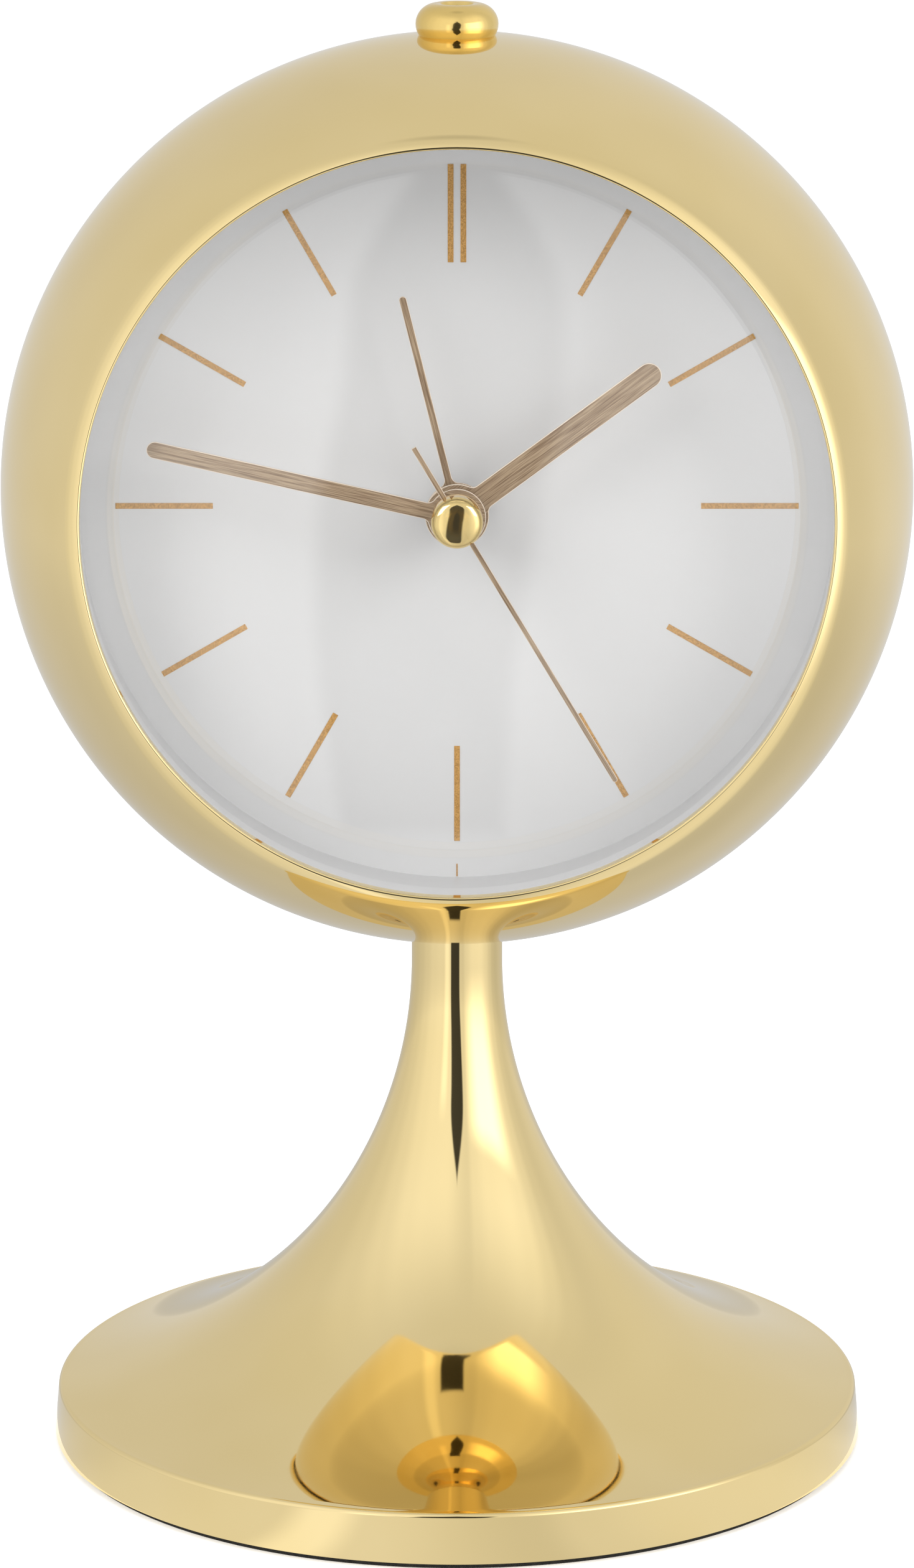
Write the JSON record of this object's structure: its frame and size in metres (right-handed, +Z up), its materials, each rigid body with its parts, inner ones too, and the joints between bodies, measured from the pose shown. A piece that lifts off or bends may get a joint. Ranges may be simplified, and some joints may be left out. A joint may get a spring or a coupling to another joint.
{
  "type": "ball pedestal alarm clock",
  "caption": "Alarm clock in a polished gold ball on a trumpet foot, with a domed glass, bar hour marks, four hands and a push button on top.",
  "frame": {"origin": "centre of the foot's underside, on the table", "axes": "+Z up through the ball and its button, -Y the way the dial faces, +X to the right as the dial is seen"},
  "size_m": [0.11, 0.1004, 0.1782],
  "materials": {
    "gold_metal": "polished",
    "steel": "satin",
    "iron": "rough",
    "foam": "matt",
    "ring_plastic": "satin",
    "dial_sheet": "fine satin",
    "mark_foil": "sparkling",
    "hand_metal": "brushed",
    "clear_glass": "clear",
    "black_plastic": "satin",
    "pale_plastic": "satin",
    "box_plastic": "satin",
    "copper_wire": "satin",
    "board": "satin",
    "cell_jacket": "satin"
  },
  "bodies": {
    "case": {"foot_pad": "foam", "base_plate": "steel", "base_weight": "iron", "pedestal": "gold_metal", "tie_rod": "steel", "tie_nuts": "steel", "tie_washer": "steel", "saddle_washer": "steel", "case_shell": "gold_metal", "glass": "clear_glass", "glass_gasket": "ring_plastic", "dial_wall": "ring_plastic", "dial": "dial_sheet", "hour_marks": "mark_foil", "movement_front": "box_plastic", "movement_back": "box_plastic", "movement_bridge": "pale_plastic", "chassis": "black_plastic", "stator": "steel", "coil": "copper_wire", "circuit_board": "board", "crystal": "steel", "back_cover": "black_plastic", "battery": "cell_jacket", "contact_positive": "steel", "contact_negative": "steel", "slide_keeper": "black_plastic", "sounder": "black_plastic", "button_guide": "pale_plastic", "snooze_switch": "black_plastic"},
    "seconds": {"second_wheel": "pale_plastic", "second_hand": "hand_metal", "hand_cap": "gold_metal"},
    "rotor": {"rotor": "steel"},
    "fifth": {"fifth_wheel": "pale_plastic"},
    "third": {"third_wheel": "pale_plastic"},
    "centre": {"centre_wheel": "pale_plastic"},
    "time_setter": {"time_knob": "black_plastic", "minute_wheel": "pale_plastic"},
    "minutes": {"minute_cannon": "pale_plastic", "minute_hand": "hand_metal"},
    "hours": {"hour_wheel": "pale_plastic", "hour_hand": "hand_metal"},
    "alarm_setter": {"alarm_knob": "black_plastic", "alarm_pinion": "pale_plastic"},
    "alarm": {"alarm_wheel": "pale_plastic", "alarm_hand": "hand_metal"},
    "button": {"button_cap": "gold_metal", "button_plunger": "pale_plastic"},
    "switch": {"alarm_slide": "black_plastic"},
    "door": {"battery_door": "black_plastic"}
  },
  "joints": [
    {"name": "second_turn", "type": "hinge", "parent": "case", "child": "seconds", "pos_m": [0, -0.01328, 0.1203], "axis": [0, 0.9986, -0.0523], "continuous": true},
    {"name": "rotor_turn", "type": "hinge", "parent": "case", "child": "rotor", "pos_m": [-0.01158, -0.01376, 0.11123], "axis": [0, 0.9986, -0.0523], "continuous": true},
    {"name": "fifth_turn", "type": "hinge", "parent": "case", "child": "fifth", "pos_m": [-0.0033, -0.01376, 0.11123], "axis": [0, 0.9986, -0.0523], "continuous": true},
    {"name": "third_turn", "type": "hinge", "parent": "case", "child": "third", "pos_m": [0.00883, -0.01355, 0.1152], "axis": [0, 0.9986, -0.0523], "continuous": true},
    {"name": "centre_turn", "type": "hinge", "parent": "case", "child": "centre", "pos_m": [0, -0.01328, 0.1203], "axis": [0, 0.9986, -0.0523], "continuous": true},
    {"name": "time_set_turn", "type": "hinge", "parent": "case", "child": "time_setter", "pos_m": [-0.00862, -0.01297, 0.12629], "axis": [0, 0.9986, -0.0523], "continuous": true},
    {"name": "minute_turn", "type": "hinge", "parent": "case", "child": "minutes", "pos_m": [0, -0.01328, 0.1203], "axis": [0, 0.9986, -0.0523], "continuous": true},
    {"name": "hour_turn", "type": "hinge", "parent": "case", "child": "hours", "pos_m": [0, -0.01328, 0.1203], "axis": [0, 0.9986, -0.0523], "continuous": true},
    {"name": "alarm_set_turn", "type": "hinge", "parent": "case", "child": "alarm_setter", "pos_m": [0.01108, -0.01297, 0.12629], "axis": [0, 0.9986, -0.0523], "continuous": true},
    {"name": "alarm_turn", "type": "hinge", "parent": "case", "child": "alarm", "pos_m": [0, -0.01328, 0.1203], "axis": [0, 0.9986, -0.0523], "continuous": true},
    {"name": "button_press", "type": "slide", "parent": "case", "child": "button", "axis": [0, 0, -1], "range_m": [0, 0.0005], "stiffness_N_per_m": 2000, "springref_m": -0.0002},
    {"name": "alarm_switch_slide", "type": "slide", "parent": "case", "child": "switch", "axis": [1, 0, 0], "range_m": [0, 0.004]},
    {"name": "battery_door_swing", "type": "hinge", "parent": "case", "child": "door", "pos_m": [0, 0.02713, 0.08994], "axis": [-1, 0, 0], "range_deg": [0, 100]}
  ],
  "couplings": [
    {"joint": "rotor_turn", "follows": "second_turn", "ratio": 30},
    {"joint": "fifth_turn", "follows": "second_turn", "ratio": -6},
    {"joint": "third_turn", "follows": "second_turn", "ratio": -0.13333},
    {"joint": "centre_turn", "follows": "second_turn", "ratio": 0.016667},
    {"joint": "minute_turn", "follows": "time_set_turn", "ratio": -3},
    {"joint": "hour_turn", "follows": "time_set_turn", "ratio": -0.25},
    {"joint": "alarm_turn", "follows": "alarm_set_turn", "ratio": -0.5}
  ]
}
